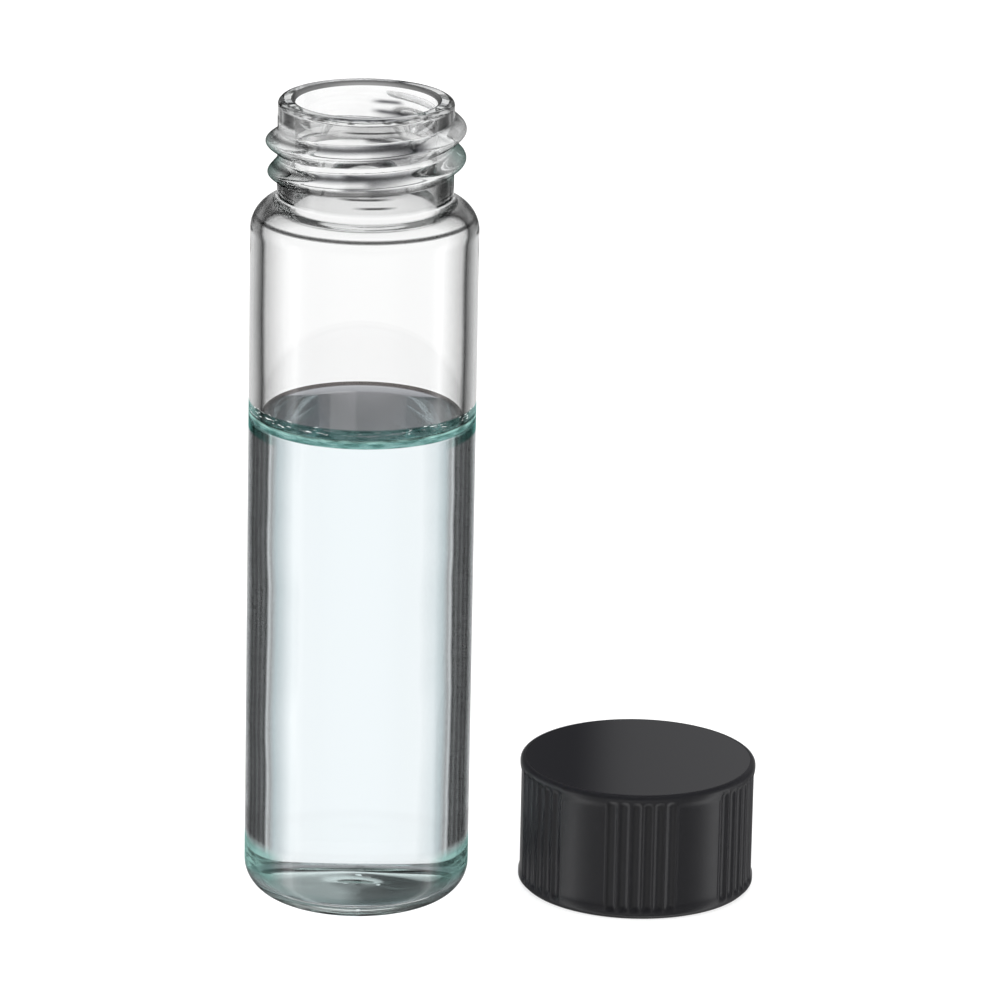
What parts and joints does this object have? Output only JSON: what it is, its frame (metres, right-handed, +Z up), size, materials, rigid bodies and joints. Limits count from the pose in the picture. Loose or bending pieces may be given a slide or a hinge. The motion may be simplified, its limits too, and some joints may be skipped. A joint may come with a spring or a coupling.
{
  "type": "glass sample vial",
  "caption": "Open clear glass screw-neck sample vial holding a pale blue clear liquid, with its low ribbed black screw cap standing beside it.",
  "frame": {"origin": "centre of the vial's foot ring, on the surface that the vial and its cap stand on", "axes": "+Z up along the vial's axis and out of its mouth; +X towards the cap, which stands 6 degrees behind it towards +Y; -Y is the front"},
  "size_m": [0.0376, 0.0191, 0.06],
  "materials": {
    "clear_glass": "clear, fire polished",
    "pale_blue_liquid": "clear liquid",
    "black_plastic": "moulded, satin",
    "liner_foam": "matt"
  },
  "bodies": {
    "root": {"vial": "clear_glass", "liquid": "pale_blue_liquid", "cap": "black_plastic", "cap_liner": "liner_foam"}
  },
  "joints": []
}
